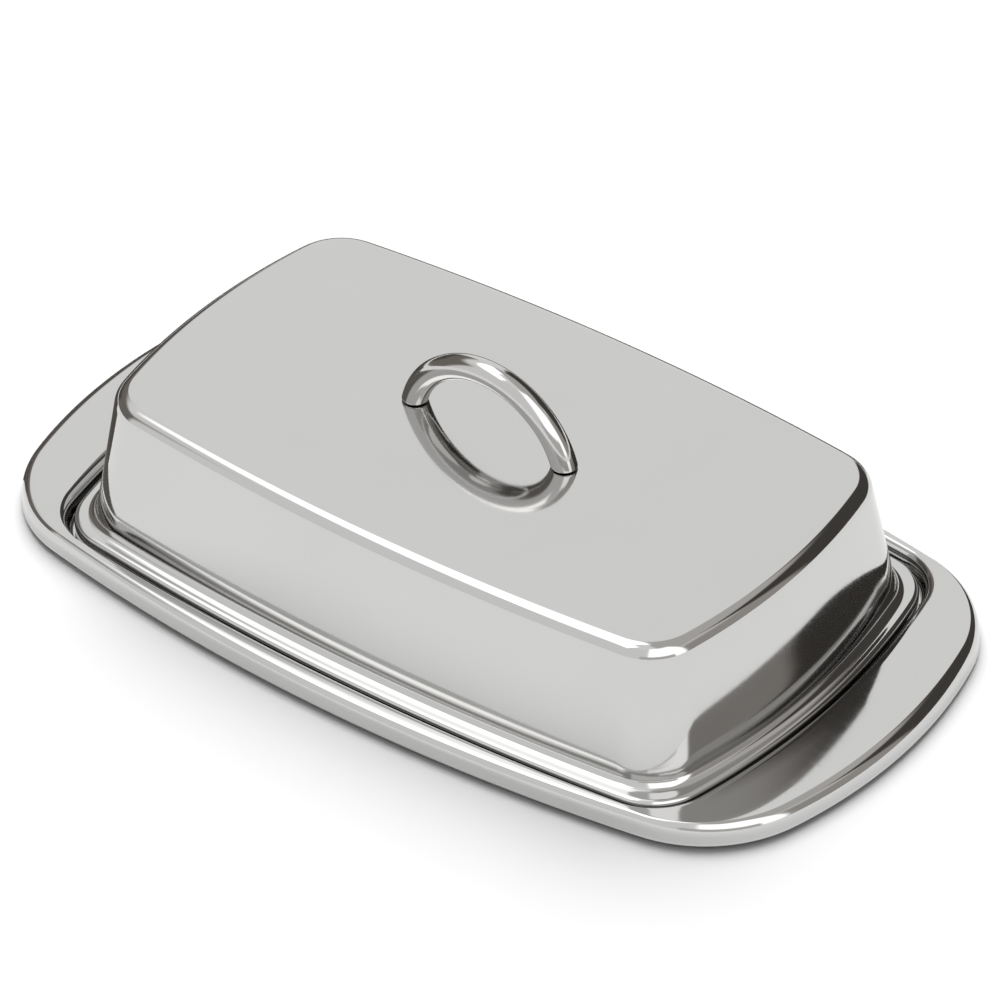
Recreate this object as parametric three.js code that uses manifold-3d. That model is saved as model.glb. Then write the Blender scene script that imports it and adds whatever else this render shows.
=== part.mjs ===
// A stainless steel butter dish: a pressed tray, a deep-drawn lid that stands in the tray's well, and a
// bent-rod handle screwed to the lid from inside. Millimetres, +Z up, +X along the dish. The origin is on the
// surface the dish stands on, under its centre.
import * as THREE from "three";
import { ParametricGeometry } from "three/addons/geometries/ParametricGeometry.js";
import { mergeVertices } from "three/addons/utils/BufferGeometryUtils.js";
import Module from "manifold-3d";

// ---- Driving dimensions ----------------------------------------------------------------------------------

const SHEET = 0.7; // thickness of the pressed sheet
const GAP = 0.3; // clearance between pieces that rest on each other

// An outline is a rectangle with bulged sides: half length, half width, and the radii of its ends, its long
// sides and its corners. All of its arcs meet tangentially.
const TRAY_EDGE = { length: 97.6, width: 54.3, end: 104, side: 418, corner: 27.2 };
const TRAY_WELL = { length: 80.4, width: 49.7, end: 168, side: 600, corner: 12.8 };
const LID_TOP = { length: 72.5, width: 40.4, end: 134, side: 538, corner: 12 };
const LID_FOOT = { length: 76.5, width: 45.1, end: 138, side: 543, corner: 12.8 };
const LID_EDGE = { length: 79.6, width: 48.3, end: 160, side: 553, corner: 11.8 };

const RIM_Z = 5.6; // top of the tray's rim
const SKIRT_Z = 0.9; // lower edge of the tray's turned-down skirt
const SKIRT_FLARE = 0.2;
const RIM_OUTER_ROLL = { radius: 2.9, share: 0.42 }; // the share is of the rim's width, where it is narrow
const RIM_INNER_ROLL = { radius: 2.6, share: 0.37 };
const WELL_FILLET = 1.2;

const LID_Z = 33.1; // top face of the lid
const LEDGE_Z = 4.6; // top of the ledge round the lid's foot
const LID_TOP_ROLL = 3.2;
const LID_EDGE_ROLL = 1.1;
const WALL_DRAFT = 10; // degrees from vertical
const FOOT_FILLET = 2; // between the wall and the ledge

const HANDLE_ROD = 2.6; // radius of the rod
const HANDLE_HALF_SPAN = 18.3; // from the middle to the rod's centre at the lid
const HANDLE_RISE = 14.2; // of the rod's centre above the lid

const SCREW_INSET = 0.6; // towards the middle, so that the hole stays inside the bent rod
const SCREW_SHANK = 1.25;
const SCREW_DEPTH = 3.4; // how far the screw reaches into the foot
const SCREW_HEAD = { radius: 2.5, height: 1.5, crown: 0.4 };
const RECESS = { length: 2.6, width: 0.6, depth: 0.8 };
const THREAD_CLEARANCE = 0.15;
const WASHER = { inner: 1.6, outer: 3.6, thick: 0.6 };
const LID_HOLE = 1.65;

const STEPS = { end: 3, corner: 7, side: 4 }; // straight pieces along half an end, a corner and half a side
const ROLL_STEPS = 4;
const ROUND_STEPS = 16;

const FLOOR_Z = SHEET; // top of the tray's floor
const LIP_Z = FLOOR_Z + GAP; // lower edge of the lid's lip
const FOOT_Z = LID_Z + GAP; // flat end of the handle's feet

// ---- Outlines --------------------------------------------------------------------------------------------

const radians = THREE.MathUtils.degToRad;

// Points of an arc about a centre, with the outward normal at each point. The last point belongs to the next arc.
function arcPoints(x, y, radius, from, to, steps) {
  return Array.from({ length: steps }, (_, i) => {
    const angle = from + ((to - from) * i) / steps;
    const nx = Math.cos(angle);
    const ny = Math.sin(angle);
    return { x: x + radius * nx, y: y + radius * ny, nx, ny };
  });
}

// A bulged outline as points in counter-clockwise order from the middle of the +X end.
function outline({ length, width, end, side, corner }) {
  const endX = length - end;
  const sideY = width - side;
  const toEnd = end - corner;
  const toSide = side - corner;
  // The corner's centre lies toEnd from the end arc's centre and toSide from the side arc's centre.
  const apart = Math.hypot(endX, sideY);
  const along = (toEnd ** 2 - toSide ** 2 + apart ** 2) / (2 * apart);
  const off = Math.sqrt(toEnd ** 2 - along ** 2);
  const ux = -endX / apart;
  const uy = sideY / apart;
  const cx = endX + along * ux - off * uy;
  const cy = along * uy + off * ux;
  const a = Math.atan2(cy, cx - endX);
  const b = Math.atan2(cy - sideY, cx);
  const { PI } = Math;
  return [
    ...arcPoints(endX, 0, end, 0, a, STEPS.end),
    ...arcPoints(cx, cy, corner, a, b, STEPS.corner),
    ...arcPoints(0, sideY, side, b, PI - b, 2 * STEPS.side),
    ...arcPoints(-cx, cy, corner, PI - b, PI - a, STEPS.corner),
    ...arcPoints(-endX, 0, end, PI - a, PI + a, 2 * STEPS.end),
    ...arcPoints(-cx, -cy, corner, PI + a, PI + b, STEPS.corner),
    ...arcPoints(0, -sideY, side, PI + b, 2 * PI - b, 2 * STEPS.side),
    ...arcPoints(cx, -cy, corner, 2 * PI - b, 2 * PI - a, STEPS.corner),
    ...arcPoints(endX, 0, end, 2 * PI - a, 2 * PI, STEPS.end),
  ];
}

const AROUND = 4 * (STEPS.end + STEPS.corner + STEPS.side);

// ---- Sheet-metal sections --------------------------------------------------------------------------------

// A ring places the section's row at every point of an outline: it is a function of the point's index.
const centreRing = (z) => () => new THREE.Vector3(0, 0, z);

function offsetRing(points, out, z) {
  return (i) => {
    const p = points[i];
    return new THREE.Vector3(p.x + p.nx * out, p.y + p.ny * out, z);
  };
}

// A section drawn as a path beside an outline. It heads at an angle from vertical: 90 is outwards, 0 is down.
// Every row is moved inwards by the depth below the sheet's outer face.
class SectionPath {
  constructor(points, out, z, heading, depth) {
    Object.assign(this, { points, out, z, heading, depth, rings: [] });
    this.mark();
  }
  mark() {
    const angle = radians(this.heading);
    const out = this.out - this.depth * Math.cos(angle);
    this.rings.push(offsetRing(this.points, out, this.z - this.depth * Math.sin(angle)));
  }
  straight(length) {
    this.out += length * Math.sin(radians(this.heading));
    this.z -= length * Math.cos(radians(this.heading));
    this.mark();
    return this;
  }
  bend(radius, heading, steps) {
    const from = this.heading;
    const sign = Math.sign(heading - from);
    for (let i = 0; i < steps; i += 1) {
      const start = radians(this.heading);
      this.heading = from + ((heading - from) * (i + 1)) / steps;
      const stop = radians(this.heading);
      this.out += sign * radius * (Math.cos(start) - Math.cos(stop));
      this.z -= sign * radius * (Math.sin(stop) - Math.sin(start));
      this.mark();
    }
    return this;
  }
}

// The closed solid between a section's outer rings and its inner rings.
function sheetGeometry(outer, inner) {
  const rings = [...inner, ...outer.reverse()];
  const place = (u, v, target) => {
    const index = Math.round(u * AROUND) % AROUND;
    target.copy(rings[Math.round(v * (rings.length - 1))](index));
  };
  return new ParametricGeometry(place, AROUND, rings.length - 1);
}

function lidRings(depth) {
  const top = outline(LID_TOP);
  const foot = outline(LID_FOOT);
  const edge = outline(LID_EDGE);
  const roll = new SectionPath(top, -LID_TOP_ROLL, LID_Z, 90, depth);
  roll.bend(LID_TOP_ROLL, WALL_DRAFT, ROLL_STEPS + 1);
  // The foot's outline is where the wall would meet the ledge without a fillet.
  const draft = radians(WALL_DRAFT);
  const cutBack = FOOT_FILLET * Math.tan((Math.PI / 2 - draft) / 2);
  const filletTop = LEDGE_Z + cutBack * Math.cos(draft);
  const fillet = new SectionPath(foot, -cutBack * Math.sin(draft), filletTop, WALL_DRAFT, depth);
  fillet.bend(FOOT_FILLET, 90, ROLL_STEPS + 1);
  const lip = new SectionPath(edge, -LID_EDGE_ROLL, LEDGE_Z, 90, depth);
  lip.bend(LID_EDGE_ROLL, 0, ROLL_STEPS).straight(LEDGE_Z - LID_EDGE_ROLL - LIP_Z);
  return [centreRing(LID_Z - depth), ...roll.rings, ...fillet.rings, ...lip.rings];
}

// The tray's rim runs from the well's wall to the outer edge. Where it is narrow its two rolls are tighter.
function rimRings(depth) {
  const well = outline(TRAY_WELL);
  const edge = outline(TRAY_EDGE);
  const rim = (inner, turn, roll) => (i) => {
    const from = new THREE.Vector2(well[i].x, well[i].y);
    const across = new THREE.Vector2(edge[i].x, edge[i].y).sub(from);
    const room = across.length();
    across.normalize();
    const reach = Math.min(roll.radius, roll.share * room) - depth;
    const along = reach * (1 - Math.cos(turn)) + depth;
    from.addScaledVector(across, inner ? along : room - along);
    return new THREE.Vector3(from.x, from.y, RIM_Z - depth - reach * (1 - Math.sin(turn)));
  };
  const turns = Array.from({ length: ROLL_STEPS + 1 }, (_, i) => ((i / ROLL_STEPS) * Math.PI) / 2);
  return [
    ...turns.map((turn) => rim(true, turn, RIM_INNER_ROLL)),
    ...turns.toReversed().map((turn) => rim(false, turn, RIM_OUTER_ROLL)),
  ];
}

function trayRings(depth) {
  const well = outline(TRAY_WELL);
  const edge = outline(TRAY_EDGE);
  const fillet = Array.from({ length: ROLL_STEPS }, (_, i) => {
    const turn = ((i / ROLL_STEPS - 1) * Math.PI) / 2;
    const radius = WELL_FILLET + depth;
    const out = radius * Math.cos(turn) - WELL_FILLET;
    return offsetRing(well, out, FLOOR_Z + WELL_FILLET + radius * Math.sin(turn));
  });
  const skirt = offsetRing(edge, SKIRT_FLARE - depth, SKIRT_Z);
  return [centreRing(FLOOR_Z - depth), ...fillet, ...rimRings(depth), skirt];
}

// ---- Booleans --------------------------------------------------------------------------------------------

const wasm = await Module();
wasm.setup();

function toSolid(geometry) {
  const bare = geometry.clone();
  bare.deleteAttribute("normal");
  bare.deleteAttribute("uv");
  const merged = mergeVertices(bare, 1e-4);
  const vertProperties = merged.attributes.position.array;
  return new wasm.Manifold(new wasm.Mesh({ numProp: 3, vertProperties, triVerts: merged.index.array }));
}

function cut(geometry, tools) {
  const solid = tools.reduce((left, tool) => left.subtract(toSolid(tool)), toSolid(geometry));
  const { vertProperties, triVerts } = solid.getMesh();
  const result = new THREE.BufferGeometry();
  result.setAttribute("position", new THREE.BufferAttribute(vertProperties, 3));
  result.setIndex(new THREE.BufferAttribute(triVerts, 1));
  result.computeVertexNormals();
  return result;
}

function drill(radius, x, bottom, top) {
  const hole = new THREE.CylinderGeometry(radius, radius, top - bottom, ROUND_STEPS);
  return hole.rotateX(Math.PI / 2).translate(x, 0, (bottom + top) / 2);
}

// ---- Handle and its fixings ------------------------------------------------------------------------------

const ARC_RADIUS = (HANDLE_HALF_SPAN ** 2 + HANDLE_RISE ** 2) / (2 * HANDLE_RISE);
const ARC_CENTRE_Z = LID_Z + HANDLE_RISE - ARC_RADIUS;
const SCREW_X = HANDLE_HALF_SPAN - SCREW_INSET;

// The rod's centre line, from the left foot over to the right one. It runs on below the lid's face, where it is cut.
class HandleArc extends THREE.Curve {
  getPoint(t, target = new THREE.Vector3()) {
    const below = Math.asin((ARC_CENTRE_Z - LID_Z + 2 * HANDLE_ROD) / ARC_RADIUS);
    const angle = THREE.MathUtils.lerp(Math.PI - below, below, t);
    return target.set(ARC_RADIUS * Math.cos(angle), 0, ARC_CENTRE_Z + ARC_RADIUS * Math.sin(angle));
  }
}

function handleGeometry() {
  const section = new THREE.Shape().absarc(0, 0, HANDLE_ROD, 0, 2 * Math.PI);
  const rod = new THREE.ExtrudeGeometry(section, {
    steps: 20,
    curveSegments: 12,
    extrudePath: new HandleArc(),
  });
  const below = new THREE.BoxGeometry(80, 20, 40).translate(0, 0, FOOT_Z - 20);
  const holes = [-1, 1].map((side) =>
    drill(SCREW_SHANK + THREAD_CLEARANCE, side * SCREW_X, FOOT_Z - 1, FOOT_Z + SCREW_DEPTH + GAP),
  );
  return cut(rod, [below, ...holes]);
}

const lathe = (profile) =>
  new THREE.LatheGeometry(
    profile.map(([r, z]) => new THREE.Vector2(r, z)),
    ROUND_STEPS,
  ).rotateX(Math.PI / 2);

const WASHER_TOP = LID_Z - SHEET - GAP;
const HEAD_TOP = WASHER_TOP - WASHER.thick - GAP;

function washerGeometry() {
  const { inner, outer, thick } = WASHER;
  return lathe([
    [inner, -thick],
    [outer, -thick],
    [outer, 0],
    [inner, 0],
    [inner, -thick],
  ]);
}

// A pan-head screw with its head's flat underside at z = 0, pointing up, and a cross recess in the head.
function screwGeometry() {
  const { radius, height, crown } = SCREW_HEAD;
  const tip = FOOT_Z + SCREW_DEPTH - HEAD_TOP;
  const blank = lathe([
    [0, -height],
    [radius - 2 * crown, -height],
    [radius - crown / 2, crown / 2 - height],
    [radius, crown * 1.5 - height],
    [radius, 0],
    [SCREW_SHANK, 0],
    [SCREW_SHANK, tip - SCREW_SHANK / 2],
    [SCREW_SHANK / 2, tip],
    [0, tip],
  ]);
  const slot = (x, y) => new THREE.BoxGeometry(x, y, 2 * RECESS.depth).translate(0, 0, -height);
  return cut(blank, [slot(RECESS.length, RECESS.width), slot(RECESS.width, RECESS.length)]);
}

// ---- The dish --------------------------------------------------------------------------------------------

function piece(name, geometry, color, roughness) {
  const material = new THREE.MeshStandardMaterial({ color, roughness, metalness: 1 });
  const mesh = new THREE.Mesh(geometry, material);
  mesh.name = name;
  return mesh;
}

const POLISHED = 0xcfcfcd;
const ZINC_PLATED = 0xb8bbbd;

const tray = piece("tray", sheetGeometry(trayRings(0), trayRings(SHEET)), POLISHED, 0.1);

const lidHoles = [-1, 1].map((side) => drill(LID_HOLE, side * SCREW_X, LID_Z - 3, LID_Z + 3));
const lidShell = cut(sheetGeometry(lidRings(0), lidRings(SHEET)), lidHoles);

const lid = new THREE.Group();
lid.add(piece("lid", lidShell, POLISHED, 0.1));
lid.add(piece("handle", handleGeometry(), POLISHED, 0.12));
for (const [side, label] of [
  [-1, "left"],
  [1, "right"],
]) {
  const washer = piece(`handle_washer_${label}`, washerGeometry(), ZINC_PLATED, 0.3);
  washer.position.set(side * SCREW_X, 0, WASHER_TOP);
  const screw = piece(`handle_screw_${label}`, screwGeometry(), ZINC_PLATED, 0.3);
  screw.position.set(side * SCREW_X, 0, HEAD_TOP);
  lid.add(washer, screw);
}

const dish = new THREE.Group();
dish.add(tray, lid);

export default dish;
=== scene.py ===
"""The looks of a stainless steel butter dish: a pressed tray, a deep-drawn lid and a bent-rod handle.

The CAD nodes are faceted, so each one is replaced by a fine mesh made from the same driving dimensions.
Lengths in the geometry functions are millimetres. Meshes, lights and the camera are in metres.
"""

import math

import bpy
import numpy as np
from mathutils import Matrix, Vector
from mathutils.geometry import tessellate_polygon


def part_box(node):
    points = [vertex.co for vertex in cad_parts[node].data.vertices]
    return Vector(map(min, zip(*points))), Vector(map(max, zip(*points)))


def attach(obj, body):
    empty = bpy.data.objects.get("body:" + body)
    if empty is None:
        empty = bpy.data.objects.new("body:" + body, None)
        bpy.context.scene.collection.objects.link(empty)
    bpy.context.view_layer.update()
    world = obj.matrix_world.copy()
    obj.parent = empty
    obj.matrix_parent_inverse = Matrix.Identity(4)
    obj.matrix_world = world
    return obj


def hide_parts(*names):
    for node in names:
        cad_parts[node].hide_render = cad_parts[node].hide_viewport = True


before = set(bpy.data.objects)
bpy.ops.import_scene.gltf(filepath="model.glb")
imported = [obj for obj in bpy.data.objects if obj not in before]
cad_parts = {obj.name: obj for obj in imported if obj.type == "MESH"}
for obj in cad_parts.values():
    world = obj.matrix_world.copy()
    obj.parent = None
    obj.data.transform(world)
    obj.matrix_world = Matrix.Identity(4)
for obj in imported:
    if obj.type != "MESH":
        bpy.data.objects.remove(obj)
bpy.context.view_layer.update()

MM = 0.001


# ---- Driving dimensions --------------------------------------------------------------------------

SHEET = 0.7
GAP = 0.3

# An outline is a rectangle with bulged sides: half length, half width, and the radii of its ends, its long
# sides and its corners.
TRAY_EDGE = {"length": 97.6, "width": 54.3, "end": 104, "side": 418, "corner": 27.2}
TRAY_WELL = {"length": 80.4, "width": 49.7, "end": 168, "side": 600, "corner": 12.8}
LID_TOP = {"length": 72.5, "width": 40.4, "end": 134, "side": 538, "corner": 12}
LID_FOOT = {"length": 76.5, "width": 45.1, "end": 138, "side": 543, "corner": 12.8}
LID_EDGE = {"length": 79.6, "width": 48.3, "end": 160, "side": 553, "corner": 11.8}

RIM_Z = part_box("tray")[1].z / MM
SKIRT_Z = 0.9
SKIRT_FLARE = 0.2
RIM_OUTER_ROLL = {"radius": 2.9, "share": 0.42}  # the share is of the rim's width, where it is narrow
RIM_INNER_ROLL = {"radius": 2.6, "share": 0.37}
WELL_FILLET = 1.2

LID_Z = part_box("lid")[1].z / MM
LEDGE_Z = 4.6
LID_TOP_ROLL = 3.2
LID_EDGE_ROLL = 1.1
WALL_DRAFT = 10
FOOT_FILLET = 2.0

HANDLE_ROD = 2.6
HANDLE_HALF_SPAN = 18.3
HANDLE_RISE = 14.2
FOOT_ROUND = 0.25
SCREW_INSET = 0.6
SCREW_SHANK = 1.25
SCREW_DEPTH = 3.4
SCREW_HEAD = {"radius": 2.5, "height": 1.5, "crown": 0.4}
RECESS = {"length": 2.6, "width": 0.6, "depth": 0.8}
THREAD_CLEARANCE = 0.15
WASHER = {"inner": 1.6, "outer": 3.6, "thick": 0.6}
LID_HOLE = 1.65

FLOOR_Z = SHEET
LIP_Z = FLOOR_Z + GAP
FOOT_Z = LID_Z + GAP
SCREW_X = HANDLE_HALF_SPAN - SCREW_INSET

# Steps along half an end, a corner and half a long side.
STEPS = {"end": 20, "corner": 64, "side": 32}
ROUND_STEPS = 48
SOFTEN = 2.0  # the length over which one arc of an outline turns into the next
DENSE = 0.15  # spacing of the points that an outline is softened on
FEWEST = 8  # points on one arc
EDGE_STEPS = 4  # across the rounded edge of the sheet


# ---- Outlines ------------------------------------------------------------------------------------


def arcs_of(shape):
    """The nine arcs of an outline, anticlockwise from the middle of the +X end, each as (x, y, radius,
    from, to)."""
    end, side, corner = shape["end"], shape["side"], shape["corner"]
    end_x = shape["length"] - end
    side_y = shape["width"] - side
    to_end = end - corner
    to_side = side - corner
    apart = math.hypot(end_x, side_y)
    along = (to_end**2 - to_side**2 + apart**2) / (2 * apart)
    off = math.sqrt(to_end**2 - along**2)
    ux, uy = -end_x / apart, side_y / apart
    cx = end_x + along * ux - off * uy
    cy = along * uy + off * ux
    a = math.atan2(cy, cx - end_x)
    b = math.atan2(cy - side_y, cx)
    pi = math.pi
    return [
        (end_x, 0, end, 0, a),
        (cx, cy, corner, a, b),
        (0, side_y, side, b, pi - b),
        (-cx, cy, corner, pi - b, pi - a),
        (-end_x, 0, end, pi - a, pi + a),
        (-cx, -cy, corner, pi + a, pi + b),
        (0, -side_y, side, pi + b, 2 * pi - b),
        (cx, -cy, corner, 2 * pi - b, 2 * pi - a),
        (end_x, 0, end, 2 * pi - a, 2 * pi),
    ]


def sample_places():
    """Where an outline's points lie: the arc's number plus the share of the way along it."""
    end, corner, side = STEPS["end"], STEPS["corner"], STEPS["side"]
    steps = [end, corner, 2 * side, corner, 2 * end, corner, 2 * side, corner, end]
    return np.concatenate([k + np.arange(n) / n for k, n in enumerate(steps)])


ARC_COUNT = 9
PLACES = sample_places()
AROUND = len(PLACES)


def outline(shape):
    """Points of an outline and their outward normals, with the joints between its arcs softened."""
    places, points = [], []
    for k, (x, y, radius, start, stop) in enumerate(arcs_of(shape)):
        n = max(FEWEST, round(radius * (stop - start) / DENSE))
        share = np.arange(n) / n
        angle = start + (stop - start) * share
        places.append(k + share)
        points.append(np.stack([x + radius * np.cos(angle), y + radius * np.sin(angle)], 1))
    places = np.concatenate(places)
    points = np.concatenate(points)
    count = len(points)
    waves = np.fft.fftfreq(count, DENSE) * 2 * math.pi
    blur = np.exp(-0.5 * (waves * SOFTEN / 2) ** 2)
    soft = np.fft.ifft(np.fft.fft(points[:, 0] + 1j * points[:, 1]) * blur)
    tangent = np.roll(soft, -1) - np.roll(soft, 1)
    normal = -1j * tangent / np.abs(tangent)
    parts = (soft.real, soft.imag, normal.real, normal.imag)
    picked = [np.interp(PLACES, places, part, period=ARC_COUNT) for part in parts]
    return np.stack(picked[:2], 1), np.stack(picked[2:], 1)


# ---- Sheet-metal sections --------------------------------------------------------------------------


def offset_ring(path, out, z):
    points, normals = path
    return np.column_stack([points + normals * out, np.full(AROUND, z)])


class SectionPath:
    """A section drawn beside an outline. It heads at an angle from vertical: 90 is outwards, 0 is down.
    Every row is moved inwards by the depth below the sheet's outer face."""

    def __init__(self, path, out, z, heading, depth):
        self.path, self.out, self.z, self.heading, self.depth = path, out, z, heading, depth
        self.rings = []
        self.mark()

    def mark(self):
        angle = math.radians(self.heading)
        out = self.out - self.depth * math.cos(angle)
        self.rings.append(offset_ring(self.path, out, self.z - self.depth * math.sin(angle)))

    def straight(self, length, steps=1):
        angle = math.radians(self.heading)
        for _ in range(steps):
            self.out += length / steps * math.sin(angle)
            self.z -= length / steps * math.cos(angle)
            self.mark()

    def bend(self, radius, heading, steps):
        start_heading = self.heading
        sign = math.copysign(1, heading - start_heading)
        for i in range(steps):
            start = math.radians(self.heading)
            self.heading = start_heading + (heading - start_heading) * (i + 1) / steps
            stop = math.radians(self.heading)
            self.out += sign * radius * (math.cos(start) - math.cos(stop))
            self.z -= sign * radius * (math.sin(stop) - math.sin(start))
            self.mark()


def between(first, last, steps):
    """Rings that divide the straight wall between two rings."""
    return [first + (last - first) * k / steps for k in range(1, steps)]


FLAT_MARGIN = 0.4  # a flat face ends in a narrow flat band, which keeps its shading flat

# How many steps each bend and each straight stretch of the sections is drawn with.
LID_STEPS = {"top roll": 20, "wall": 8, "fillet": 16, "ledge": 3, "edge roll": 12, "lip": 3}
TRAY_STEPS = {"well fillet": 10, "well wall": 3, "roll": 14, "rim": 4, "skirt": 4}


def lid_rings(depth):
    top, foot, edge = outline(LID_TOP), outline(LID_FOOT), outline(LID_EDGE)
    roll = SectionPath(top, -LID_TOP_ROLL, LID_Z, 90, depth)
    roll.bend(LID_TOP_ROLL, WALL_DRAFT, LID_STEPS["top roll"])
    # The foot's outline is where the wall would meet the ledge without a fillet.
    draft = math.radians(WALL_DRAFT)
    cut = FOOT_FILLET * math.tan((math.pi / 2 - draft) / 2)
    fillet = SectionPath(foot, -cut * math.sin(draft), LEDGE_Z + cut * math.cos(draft), WALL_DRAFT, depth)
    fillet.bend(FOOT_FILLET, 90, LID_STEPS["fillet"])
    lip = SectionPath(edge, -LID_EDGE_ROLL, LEDGE_Z, 90, depth)
    lip.bend(LID_EDGE_ROLL, 0, LID_STEPS["edge roll"])
    lip.straight(LEDGE_Z - LID_EDGE_ROLL - LIP_Z, LID_STEPS["lip"])
    flat = offset_ring(top, -LID_TOP_ROLL - FLAT_MARGIN, LID_Z - depth)
    wall = between(roll.rings[-1], fillet.rings[0], LID_STEPS["wall"])
    ledge = between(fillet.rings[-1], lip.rings[0], LID_STEPS["ledge"])
    return [flat, *roll.rings, *wall, *fillet.rings, *ledge, *lip.rings]


def rim_rings(depth):
    """The tray's rim, from the well's wall to its outer edge. Its rolls are tighter where it is narrow."""
    well, _ = outline(TRAY_WELL)
    edge, _ = outline(TRAY_EDGE)
    across = edge - well
    room = np.linalg.norm(across, axis=1)[:, None]
    across = across / room

    def rim(inner, turn, roll):
        reach = np.minimum(roll["radius"], roll["share"] * room) - depth
        along = reach * (1 - math.cos(turn)) + depth
        place = well + across * (along if inner else room - along)
        return np.column_stack([place, RIM_Z - depth - reach * (1 - math.sin(turn))])

    steps = TRAY_STEPS["roll"]
    turns = [math.pi / 2 * i / steps for i in range(steps + 1)]
    inside = [rim(True, turn, RIM_INNER_ROLL) for turn in turns]
    outside = [rim(False, turn, RIM_OUTER_ROLL) for turn in reversed(turns)]
    return [*inside, *between(inside[-1], outside[0], TRAY_STEPS["rim"]), *outside]


def tray_rings(depth):
    well, edge = outline(TRAY_WELL), outline(TRAY_EDGE)
    fillet = []
    steps = TRAY_STEPS["well fillet"]
    for i in range(steps + 1):
        turn = (i / steps - 1) * math.pi / 2
        radius = WELL_FILLET + depth
        out = radius * math.cos(turn) - WELL_FILLET
        fillet.append(offset_ring(well, out, FLOOR_Z + WELL_FILLET + radius * math.sin(turn)))
    flat = offset_ring(well, -WELL_FILLET - FLAT_MARGIN, FLOOR_Z - depth)
    rim = rim_rings(depth)
    skirt = offset_ring(edge, SKIRT_FLARE - depth, SKIRT_Z)
    wall = between(fillet[-1], rim[0], TRAY_STEPS["well wall"])
    return [flat, *fillet, *wall, *rim, *between(rim[-1], skirt, TRAY_STEPS["skirt"]), skirt]


def rounded_edge(outer, inner):
    """Rings round the cut edge of the sheet, between its two faces."""
    middle = (outer + inner) / 2
    half = (outer - inner) / 2
    reach = np.linalg.norm(half, axis=1)[:, None] * np.array([0, 0, -1])
    turns = [math.pi * k / (2 * EDGE_STEPS) for k in range(2 * EDGE_STEPS + 1)]
    lift = np.linalg.norm(half, axis=1)[:, None] * np.array([0, 0, 1])
    return [middle + half * math.cos(t) + reach * math.sin(t) + lift for t in turns]


# ---- Meshes --------------------------------------------------------------------------------------


SHARP_ANGLE = 50


def make_mesh(name, vertices, faces, sharp_angle=SHARP_ANGLE):
    """A smooth-shaded mesh object, from vertices in millimetres. Edges over sharp_angle stay sharp."""
    mesh = bpy.data.meshes.new(name)
    mesh.from_pydata((np.asarray(vertices) * MM).tolist(), [], faces)
    mesh.validate()
    mesh.shade_smooth()
    mesh.set_sharp_from_angle(angle=math.radians(sharp_angle))
    piece = bpy.data.objects.new(name, mesh)
    bpy.context.scene.collection.objects.link(piece)
    return piece


def ring_faces(first, second, count):
    """Quads between two closed rings of vertices, given each ring's first index."""
    steps = [(i, (i + 1) % count) for i in range(count)]
    return [(first + i, second + i, second + j, first + j) for i, j in steps]


def flat_cap(vertices, loops, facing):
    """Triangles that fill the first loop, less the others. Each loop is a (first index, count) pair."""
    numbers = [start + i for start, count in loops for i in range(count)]
    lines = [[Vector(vertices[start + i]) for i in range(count)] for start, count in loops]
    faces = []
    for a, b, c in tessellate_polygon(lines):
        a, b, c = numbers[a], numbers[b], numbers[c]
        ab, ac = Vector(vertices[b]) - Vector(vertices[a]), Vector(vertices[c]) - Vector(vertices[a])
        turned = ab.cross(ac).dot(facing) > 0
        faces.append((a, b, c) if turned else (a, c, b))
    return faces


def sheet_piece(name, outer, inner, hole_places=(), hole_radius=0):
    """The closed solid between the outer and the inner rings, with round holes through its flat middle."""
    edge = rounded_edge(outer[-1], inner[-1])
    rings = [*outer[:-1], *edge, *reversed(inner[:-1])]
    vertices = np.concatenate(rings).tolist()
    faces = []
    for k in range(len(rings) - 1):
        faces += ring_faces(k * AROUND, (k + 1) * AROUND, AROUND)
    last = (len(rings) - 1) * AROUND
    outer_loops, inner_loops = [(0, AROUND)], [(last, AROUND)]
    for x in hole_places:
        starts = []
        for z in (outer[0][0, 2], inner[0][0, 2]):
            starts.append(len(vertices))
            for i in range(ROUND_STEPS):
                angle = 2 * math.pi * i / ROUND_STEPS
                vertices.append([x + hole_radius * math.cos(angle), hole_radius * math.sin(angle), z])
        outer_loops.append((starts[0], ROUND_STEPS))
        inner_loops.append((starts[1], ROUND_STEPS))
        faces += ring_faces(starts[1], starts[0], ROUND_STEPS)
    faces += flat_cap(vertices, outer_loops, Vector((0, 0, 1)))
    faces += flat_cap(vertices, inner_loops, Vector((0, 0, -1)))
    return make_mesh(name, vertices, faces)


ARC_RADIUS = (HANDLE_HALF_SPAN**2 + HANDLE_RISE**2) / (2 * HANDLE_RISE)
ARC_CENTRE_Z = LID_Z + HANDLE_RISE - ARC_RADIUS
ROD_STEPS = {"around": 64, "along": 160, "foot": 5}


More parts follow.
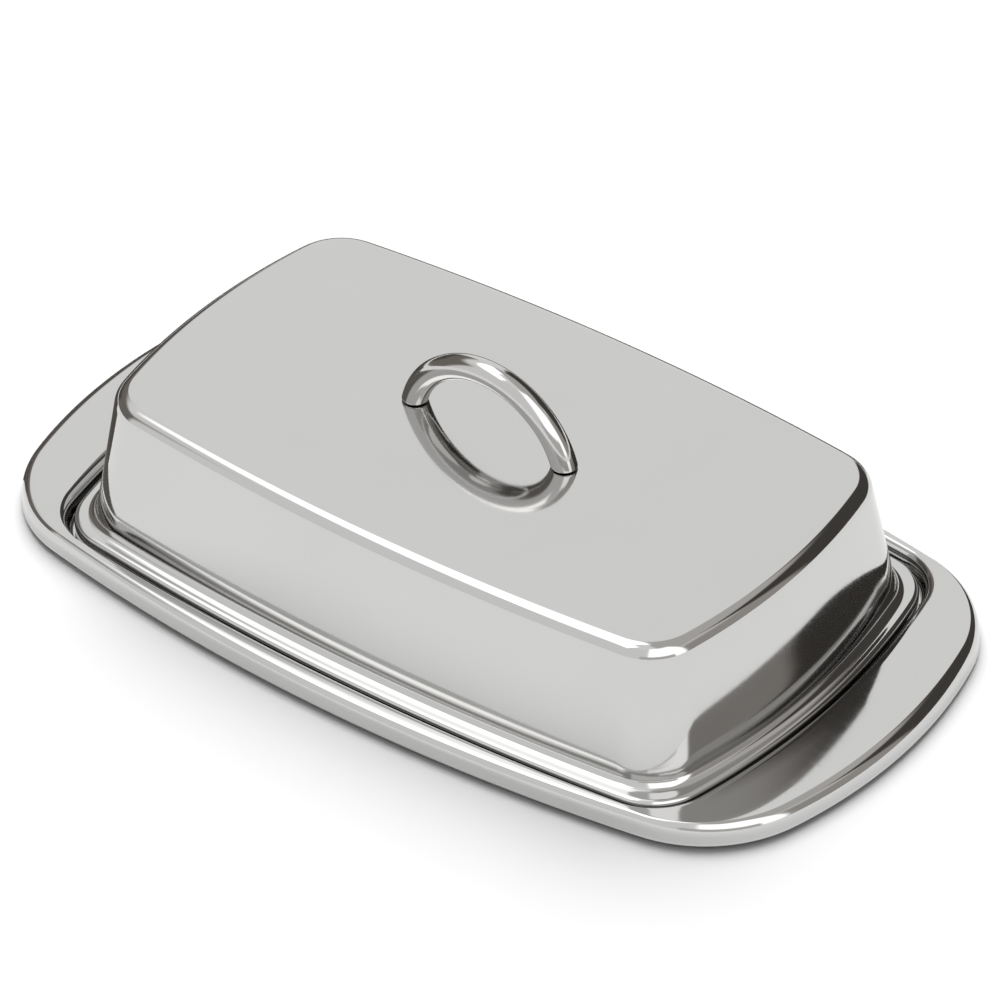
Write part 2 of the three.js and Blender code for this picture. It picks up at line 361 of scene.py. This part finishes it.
def handle_piece():
    """The bent rod, cut flat at its two feet, with a blind hole up each foot for its screw."""
    around, along = ROD_STEPS["around"], ROD_STEPS["along"]
    vertices, faces = [], []

    def rod_point(turn, angle, radius):
        reach = ARC_RADIUS + radius * math.cos(turn)
        return [reach * math.cos(angle), radius * math.sin(turn), ARC_CENTRE_Z + reach * math.sin(angle)]

    def row(places):
        vertices.extend(places)
        return len(vertices) - around

    turns = [2 * math.pi * i / around for i in range(around)]

    def foot_angle(turn, radius):
        return math.asin((FOOT_Z - ARC_CENTRE_Z) / (ARC_RADIUS + radius * math.cos(turn)))

    rows = []
    for k in range(along + 1):
        share = k / along
        ring = []
        for turn in turns:
            start = foot_angle(turn, HANDLE_ROD) + FOOT_ROUND / ARC_RADIUS
            ring.append(rod_point(turn, start + (math.pi - 2 * start) * share, HANDLE_ROD))
        rows.append(row(ring))
    for k in range(along):
        faces += ring_faces(rows[k], rows[k + 1], around)
    for side in (1, -1):
        last = rows[0] if side > 0 else rows[-1]
        steps = ROD_STEPS["foot"]
        for k in range(1, steps + 1):
            bend = math.pi / 2 * k / steps
            ring = []
            for turn in turns:
                radius = HANDLE_ROD - FOOT_ROUND * (1 - math.cos(bend))
                angle = foot_angle(turn, radius) + FOOT_ROUND / ARC_RADIUS * (1 - math.sin(bend))
                x, y, z = rod_point(turn, angle, radius)
                ring.append([side * x, y, FOOT_Z if k == steps else z])
            new = row(ring)
            faces += ring_faces(new, last, around) if side > 0 else ring_faces(last, new, around)
            last = new
        rim = last
        hole_radius = SCREW_SHANK + THREAD_CLEARANCE
        mouth, end = [], []
        for turn in turns:
            x = side * (SCREW_X + hole_radius * math.cos(turn))
            mouth.append([x, hole_radius * math.sin(turn), FOOT_Z])
            end.append([x, hole_radius * math.sin(turn), FOOT_Z + SCREW_DEPTH + GAP])
        mouth_row, end_row = row(mouth), row(end)
        if side > 0:
            faces += ring_faces(mouth_row, rim, around)
            faces += ring_faces(end_row, mouth_row, around)
            faces.append(tuple(end_row + i for i in range(around)))
        else:
            faces += ring_faces(rim, mouth_row, around)
            faces += ring_faces(mouth_row, end_row, around)
            faces.append(tuple(end_row + i for i in reversed(range(around))))
    return make_mesh("rod_handle", vertices, faces)


def turned_piece(name, profile, x, z):
    """A solid of revolution about a vertical axis at x. The profile's (radius, height) points run round the
    section anticlockwise, from the axis back to it, or all the way round a section that is off the axis."""
    vertices, faces, rows = [], [], []
    for radius, height in profile:
        if radius > 0:
            rows.append(len(vertices))
            for i in range(ROUND_STEPS):
                turn = 2 * math.pi * i / ROUND_STEPS
                vertices.append([x + radius * math.cos(turn), radius * math.sin(turn), z + height])
    for first, second in zip(rows, rows[1:]):
        faces += ring_faces(second, first, ROUND_STEPS)
    if profile[0][0] > 0:
        faces += ring_faces(rows[0], rows[-1], ROUND_STEPS)
    else:
        faces.append(tuple(rows[0] + i for i in reversed(range(ROUND_STEPS))))
        faces.append(tuple(rows[-1] + i for i in range(ROUND_STEPS)))
    return make_mesh(name, vertices, faces, TURNED_SHARP_ANGLE)


SQUARE = ((-1, -1), (1, -1), (1, 1), (-1, 1))
WASHER_TOP = LID_Z - SHEET - GAP
HEAD_TOP = WASHER_TOP - WASHER["thick"] - GAP
WASHER_CHAMFER = 0.08
CROWN_STEPS = 6
CROWN_REACH = 2.0  # how far the head's rounding comes in, and how far up it goes, in crowns
CROWN_CLIMB = 1.5
TURNED_SHARP_ANGLE = 35


def washer_piece(name, x):
    inner, outer, thick, cut = WASHER["inner"], WASHER["outer"], WASHER["thick"], WASHER_CHAMFER
    profile = [
        (inner, -thick + cut),
        (inner + cut, -thick),
        (outer - cut, -thick),
        (outer, -thick + cut),
        (outer, -cut),
        (outer - cut, 0),
        (inner + cut, 0),
        (inner, -cut),
    ]
    return turned_piece(name, profile, x, WASHER_TOP)


def screw_piece(name, x):
    """A pan-head screw that points up, with a cross recess cut into its head."""
    radius, height, crown = SCREW_HEAD["radius"], SCREW_HEAD["height"], SCREW_HEAD["crown"]
    reach, climb = CROWN_REACH * crown, CROWN_CLIMB * crown
    tip = FOOT_Z + SCREW_DEPTH - HEAD_TOP
    turns = [math.pi / 2 * k / CROWN_STEPS for k in range(CROWN_STEPS + 1)]
    profile = [
        (0, -height),
        *[(radius - reach * (1 - math.sin(t)), -height + climb * (1 - math.cos(t))) for t in turns],
        (radius, 0),
        (SCREW_SHANK, 0),
        (SCREW_SHANK, tip - SCREW_SHANK / 2),
        (SCREW_SHANK / 2, tip),
        (0, tip),
    ]
    screw = turned_piece(name, profile, x, HEAD_TOP)
    depth = RECESS["depth"]  # the block stands out below the head by as much as it cuts into it
    for length, width in ((RECESS["length"], RECESS["width"]), (RECESS["width"], RECESS["length"])):
        corners = [(a, b, c) for c in (-depth, depth) for a, b in SQUARE]
        low = HEAD_TOP - height
        block = [[x + a * length / 2, b * width / 2, low + c] for a, b, c in corners]
        sides = [(0, 1, 5, 4), (1, 2, 6, 5), (2, 3, 7, 6), (3, 0, 4, 7), (3, 2, 1, 0), (4, 5, 6, 7)]
        cutter = make_mesh("recess_cutter", block, sides)
        cut = screw.modifiers.new("recess", "BOOLEAN")
        cut.operation = "DIFFERENCE"
        cut.object = cutter
        bpy.context.view_layer.update()
        mesh = bpy.data.meshes.new_from_object(screw.evaluated_get(bpy.context.evaluated_depsgraph_get()))
        whole, block_mesh = screw.data, cutter.data
        screw.modifiers.clear()
        screw.data = mesh
        bpy.data.objects.remove(cutter)
        bpy.data.meshes.remove(whole)
        bpy.data.meshes.remove(block_mesh)
    return screw


# ---- Materials -----------------------------------------------------------------------------------


class Nodes:
    """Short calls for the nodes that the materials and the world are made of."""

    def __init__(self, tree):
        self.tree = tree
        tree.nodes.clear()

    def add(self, kind, **settings):
        node = self.tree.nodes.new(kind)
        for key, value in settings.items():
            setattr(node, key, value)
        return node

    def feed(self, socket, value):
        if isinstance(value, bpy.types.NodeSocket):
            self.tree.links.new(value, socket)
        else:
            socket.default_value = value

    def math(self, operation, a, b=0.0, clamp=False):
        node = self.add("ShaderNodeMath", operation=operation, use_clamp=clamp)
        self.feed(node.inputs[0], a)
        self.feed(node.inputs[1], b)
        return node.outputs[0]

    def dot(self, a, b):
        node = self.add("ShaderNodeVectorMath", operation="DOT_PRODUCT")
        self.feed(node.inputs[0], a)
        self.feed(node.inputs[1], b)
        return node.outputs["Value"]

    def scaled(self, vector, scale):
        node = self.add("ShaderNodeMapping")
        self.feed(node.inputs["Vector"], vector)
        node.inputs["Scale"].default_value = scale
        return node.outputs[0]

    def noise(self, vector, scale, detail=2.0, rough=0.5):
        node = self.add("ShaderNodeTexNoise")
        self.feed(node.inputs["Vector"], vector)
        node.inputs["Scale"].default_value = scale
        node.inputs["Detail"].default_value = detail
        node.inputs["Roughness"].default_value = rough
        return node.outputs["Fac"]

    def spread(self, value, low, high, to_low, to_high, smooth=False):
        node = self.add("ShaderNodeMapRange", interpolation_type="SMOOTHSTEP" if smooth else "LINEAR")
        self.feed(node.inputs["Value"], value)
        for name, number in zip(("From Min", "From Max", "To Min", "To Max"), (low, high, to_low, to_high)):
            node.inputs[name].default_value = number
        return node.outputs["Result"]

    def mix(self, share, a, b):
        node = self.add("ShaderNodeMix", data_type="RGBA")
        self.feed(node.inputs["Factor"], share)
        self.feed(node.inputs["A"], a)
        self.feed(node.inputs["B"], b)
        return node.outputs["Result"]


def metal_surface(nodes, color, rough, height, bump_size):
    """A bare metal surface with a bump, joined to the material's output."""
    bump = nodes.add("ShaderNodeBump")
    bump.inputs["Strength"].default_value = bump_size["strength"]
    bump.inputs["Distance"].default_value = bump_size["height"]
    nodes.feed(bump.inputs["Height"], height)
    shader = nodes.add("ShaderNodeBsdfPrincipled")
    shader.inputs["Metallic"].default_value = 1.0
    nodes.feed(shader.inputs["Base Color"], color)
    nodes.feed(shader.inputs["Roughness"], rough)
    nodes.feed(shader.inputs["Normal"], bump.outputs[0])
    output = nodes.add("ShaderNodeOutputMaterial")
    nodes.feed(output.inputs["Surface"], shader.outputs[0])


# Noise scales are per metre. The polishing lines run along the dish.
CLOUDS_SCALE, GRAIN_SCALE = 38.0, 900.0
LINES_SCALE = (60.0, 2600.0, 2600.0)
LINES_HAZE, GRAIN_HAZE = 0.8, 0.5  # what each adds to the roughness, as a share of the clouds' haze
STEEL_BUMP = {"strength": 0.02, "height": 0.00002}
PLATING_BUMP = {"strength": 0.15, "height": 0.00001}
PLATING_COLORS = ((0.5, 0.52, 0.54, 1), (0.62, 0.63, 0.64, 1))
PLATING_ROUGHNESS = (0.36, 0.26)
PLATING_CLOUDS_SCALE, PLATING_GRAIN_SCALE = 900.0, 9000.0


def polished_steel(name, light, dark, roughness, haze):
    """Mirror-polished stainless steel: a faint cloudy haze, fine polishing lines and fine grain."""
    material = bpy.data.materials.new(name)
    material.use_nodes = True
    nodes = Nodes(material.node_tree)
    place = nodes.add("ShaderNodeTexCoord").outputs["Object"]
    clouds = nodes.noise(place, CLOUDS_SCALE, 3.0, 0.55)
    grain = nodes.noise(place, GRAIN_SCALE, 2.0, 0.6)
    lines = nodes.noise(nodes.scaled(place, LINES_SCALE), 1.0, 2.0, 0.6)
    color = nodes.mix(nodes.spread(clouds, 0.3, 0.7, 0.0, 1.0), dark, light)
    rough = nodes.spread(clouds, 0.3, 0.7, roughness, roughness + haze)
    rough = nodes.math("ADD", rough, nodes.spread(lines, 0.45, 0.75, 0.0, haze * LINES_HAZE))
    rough = nodes.math("ADD", rough, nodes.spread(grain, 0.4, 0.8, 0.0, haze * GRAIN_HAZE))
    metal_surface(nodes, color, rough, nodes.math("ADD", lines, grain), STEEL_BUMP)
    return material


def plated_steel(name):
    """Zinc-plated steel: satin, with fine grain and cloudy plating."""
    material = bpy.data.materials.new(name)
    material.use_nodes = True
    nodes = Nodes(material.node_tree)
    place = nodes.add("ShaderNodeTexCoord").outputs["Object"]
    clouds = nodes.noise(place, PLATING_CLOUDS_SCALE, 3.0, 0.6)
    grain = nodes.noise(place, PLATING_GRAIN_SCALE, 2.0, 0.6)
    color = nodes.mix(nodes.spread(clouds, 0.3, 0.7, 0.0, 1.0), *PLATING_COLORS)
    rough = nodes.spread(clouds, 0.3, 0.7, *PLATING_ROUGHNESS)
    metal_surface(nodes, color, rough, grain, PLATING_BUMP)
    return material


def show(piece, material, slot, body, *nodes):
    piece.data.materials.clear()
    piece.data.materials.append(material)
    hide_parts(*nodes)
    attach(piece, body)


# ---- The dish ------------------------------------------------------------------------------------

SHEET_STEEL = {
    "light": (0.6, 0.598, 0.592, 1),
    "dark": (0.585, 0.583, 0.576, 1),
    "roughness": 0.05,
    "haze": 0.03,
}
ROD_STEEL = {
    "light": (0.6, 0.595, 0.585, 1),
    "dark": (0.57, 0.565, 0.555, 1),
    "roughness": 0.07,
    "haze": 0.04,
}

tray_steel = polished_steel("tray_steel", **SHEET_STEEL)
lid_steel = polished_steel("lid_steel", **SHEET_STEEL)
rod_steel = polished_steel("rod_steel", **ROD_STEEL)

show(
    sheet_piece("pressed_tray", tray_rings(0), tray_rings(SHEET)),
    tray_steel,
    "polished_steel_tray",
    "tray",
    "tray",
)
show(
    sheet_piece("drawn_lid", lid_rings(0), lid_rings(SHEET), (-SCREW_X, SCREW_X), LID_HOLE),
    lid_steel,
    "polished_steel_lid",
    "lid",
    "lid",
)
show(handle_piece(), rod_steel, "polished_steel_handle", "lid", "handle")

fixing_steel = plated_steel("fixing_steel")
for label, x in (("left", -SCREW_X), ("right", SCREW_X)):
    washer, screw = f"handle_washer_{label}", f"handle_screw_{label}"
    show(washer_piece(f"flat_washer_{label}", x), fixing_steel, "plated_fixings", "lid", washer)
    show(screw_piece(f"pan_screw_{label}", x), fixing_steel, "plated_fixings", "lid", screw)


# ---- Stage, light and camera ---------------------------------------------------------------------

FLOOR_HALF = 20.0
FLOOR_DROP = 0.00002
FLOOR_WHITE = (0.9, 0.9, 0.9, 1)


def make_floor():
    mesh = bpy.data.meshes.new("floor")
    corners = [(x * FLOOR_HALF, y * FLOOR_HALF, -FLOOR_DROP) for x, y in SQUARE]
    mesh.from_pydata(corners, [], [(0, 1, 2, 3)])
    floor = bpy.data.objects.new("floor", mesh)
    bpy.context.scene.collection.objects.link(floor)
    material = bpy.data.materials.new("pale_floor")
    material.use_nodes = True
    nodes = Nodes(material.node_tree)
    diffuse = nodes.add("ShaderNodeBsdfDiffuse")
    diffuse.inputs["Color"].default_value = FLOOR_WHITE
    output = nodes.add("ShaderNodeOutputMaterial")
    nodes.feed(output.inputs["Surface"], diffuse.outputs[0])
    mesh.materials.append(material)


# Dark cards on the floor, at the dish's left end and behind it, as (from x, to x, from y, to y) in metres.
# Only the steel sees them. They stand for dark surroundings, and where the left card comes up to the
# dish's end it is painted shade of the floor beside it, which the steel reflects.
DARK_CARDS = [(-0.5, -0.088, -0.034, 0.5), (-0.088, 0.03, 0.06, 0.5)]
CARD_Z = 0.0001
# A dim glow: dark surroundings, and painted floor shade beside the dish's left end, in the steel's
# reflections.
CARD_SURROUNDS_AND_SHADE = (0.1, 0.09, 0.08, 1)


def make_dark_cards():
    vertices, faces = [], []
    for x0, x1, y0, y1 in DARK_CARDS:
        faces.append(tuple(len(vertices) + i for i in range(4)))
        vertices += [(x0, y0, CARD_Z), (x1, y0, CARD_Z), (x1, y1, CARD_Z), (x0, y1, CARD_Z)]
    mesh = bpy.data.meshes.new("dark_cards")
    mesh.from_pydata(vertices, [], faces)
    cards = bpy.data.objects.new("dark_cards", mesh)
    bpy.context.scene.collection.objects.link(cards)
    material = bpy.data.materials.new("dark_card")
    material.use_nodes = True
    nodes = Nodes(material.node_tree)
    glow = nodes.add("ShaderNodeEmission")
    glow.inputs["Color"].default_value = CARD_SURROUNDS_AND_SHADE
    output = nodes.add("ShaderNodeOutputMaterial")
    nodes.feed(output.inputs["Surface"], glow.outputs[0])
    mesh.materials.append(material)
    cards.visible_camera = False
    cards.visible_diffuse = False
    cards.visible_shadow = False


# The tent that the steel reflects, as soft-edged zones laid over each other: azimuth from +X towards +Y and
# elevation of the middle, half width, half height and softness of the edge in degrees, and radiance.
TENT = 0.95
ZONES = {
    "dim ceiling on the right": (50, 68, 80, 24, 12, 0.58),
    "gap on the right": (28, 14, 20, 26, 14, 0.4),
    "front wall": (245, 25, 55, 40, 14, 0.88),
    "low left wall": (176, 10, 42, 28, 10, 0.2),
    "gap behind on the left": (156, 4, 18, 14, 6, 0.1),
    "gap behind": (78, 16, 36, 33, 5, 0.07),
    "backdrop": (125, 27, 15, 23, 4, 0.99),
    "overhead softbox": (192, 64.5, 60, 11.5, 5, 2.4),
    "softbox on the right": (335, 37, 33, 35, 6, 1.8),
    "low gap on the right": (318, 6, 30, 11, 4, 0.6),
}
SHADE_TINT = (1, 0.92, 0.84, 1)  # the colour of the dimmest parts
TINT_FROM, TINT_TO = 0.1, 0.85  # radiances where the tint is full and where it has gone
FILL = 0.3  # what the tent gives the floor, besides the broad light


def make_world():
    """A white tent with softboxes and dark gaps, for the steel to reflect. The camera sees plain white."""
    world = bpy.data.worlds.new("tent")
    bpy.context.scene.world = world
    world.use_nodes = True
    nodes = Nodes(world.node_tree)
    direction = nodes.add("ShaderNodeTexCoord").outputs["Generated"]
    height = nodes.math("ARCSINE", nodes.dot(direction, (0, 0, 1)))
    radiance = None
    for azimuth, elevation, half_width, half_height, soft, level in ZONES.values():
        turn = math.radians(azimuth)
        ahead = nodes.dot(direction, (math.cos(turn), math.sin(turn), 0))
        aside = nodes.dot(direction, (-math.sin(turn), math.cos(turn), 0))
        sideways = nodes.math("ABSOLUTE", nodes.math("ARCTAN2", aside, ahead))
        upwards = nodes.math("ABSOLUTE", nodes.math("SUBTRACT", height, math.radians(elevation)))
        masks = []
        for angle, half in ((sideways, half_width), (upwards, half_height)):
            start, stop = math.radians(half - soft / 2), math.radians(half + soft / 2)
            masks.append(nodes.spread(angle, start, stop, 1.0, 0.0, smooth=True))
        mask = nodes.math("MULTIPLY", *masks)
        below = TENT if radiance is None else radiance
        change = nodes.math("SUBTRACT", level, below)
        radiance = nodes.math("ADD", below, nodes.math("MULTIPLY", mask, change))
    path = nodes.add("ShaderNodeLightPath").outputs
    background = nodes.add("ShaderNodeBackground")
    tint = nodes.mix(nodes.spread(radiance, TINT_FROM, TINT_TO, 0.0, 1.0), SHADE_TINT, (1, 1, 1, 1))
    nodes.feed(background.inputs["Color"], nodes.mix(path["Is Glossy Ray"], (1, 1, 1, 1), tint))
    for ray, level in (("Is Diffuse Ray", FILL), ("Is Camera Ray", 1.0)):
        change = nodes.math("MULTIPLY", path[ray], nodes.math("SUBTRACT", level, radiance))
        radiance = nodes.math("ADD", radiance, change)
    nodes.feed(background.inputs["Strength"], radiance)
    output = nodes.add("ShaderNodeOutputWorld")
    nodes.feed(output.inputs["Surface"], background.outputs[0])


SUN_AZIMUTH, SUN_ELEVATION, SUN_SIZE, SUN_POWER = 127, 54, 56, 3.3


def direction_of(azimuth, elevation):
    level = math.cos(elevation)
    return Vector((math.cos(azimuth) * level, math.sin(azimuth) * level, math.sin(elevation)))


def make_light():
    """One broad light behind and above, for the soft shadow in front. The steel doesn't reflect it."""
    data = bpy.data.lights.new("broad_light", "SUN")
    data.energy = SUN_POWER
    data.angle = math.radians(SUN_SIZE)
    light = bpy.data.objects.new("broad_light", data)
    azimuth, elevation = math.radians(SUN_AZIMUTH), math.radians(SUN_ELEVATION)
    light.rotation_mode = "QUATERNION"
    light.rotation_quaternion = direction_of(azimuth, elevation).to_track_quat("Z", "Y")
    light.visible_glossy = False
    bpy.context.scene.collection.objects.link(light)


# The azimuth is 0 when the camera looks along +Y, and grows as it goes round towards +X.
CAMERA_AZIMUTH, CAMERA_ELEVATION, CAMERA_ROLL = 39.05, 37.87, -1.68
CAMERA_DISTANCE = 1.286
CAMERA_SHIFT = (0.00170, 0.0087)  # across and up from the middle of the rim's plane
SENSOR = 36.0
LENS = 237.6


def make_camera():
    azimuth, elevation, roll = (math.radians(x) for x in (CAMERA_AZIMUTH, CAMERA_ELEVATION, CAMERA_ROLL))
    back = direction_of(azimuth - math.pi / 2, elevation)
    right = direction_of(azimuth, 0)
    up = back.cross(right)
    data = bpy.data.cameras.new("camera")
    data.sensor_width = SENSOR
    data.lens = LENS
    camera = bpy.data.objects.new("camera", data)
    rolled_right = right * math.cos(roll) + up * math.sin(roll)
    rolled_up = up * math.cos(roll) - right * math.sin(roll)
    turn = Matrix((rolled_right, rolled_up, back)).transposed().to_4x4()
    across, upwards = CAMERA_SHIFT
    target = Vector((0, 0, RIM_Z * MM)) + right * across + up * upwards
    camera.matrix_world = Matrix.Translation(target + back * CAMERA_DISTANCE) @ turn
    bpy.context.scene.collection.objects.link(camera)
    bpy.context.scene.camera = camera


make_floor()
make_dark_cards()
make_world()
make_light()
make_camera()

scene = bpy.context.scene
scene.view_settings.view_transform = "Standard"
scene.cycles.max_bounces = 16
scene.cycles.glossy_bounces = 16
scene.cycles.min_light_bounces = 12
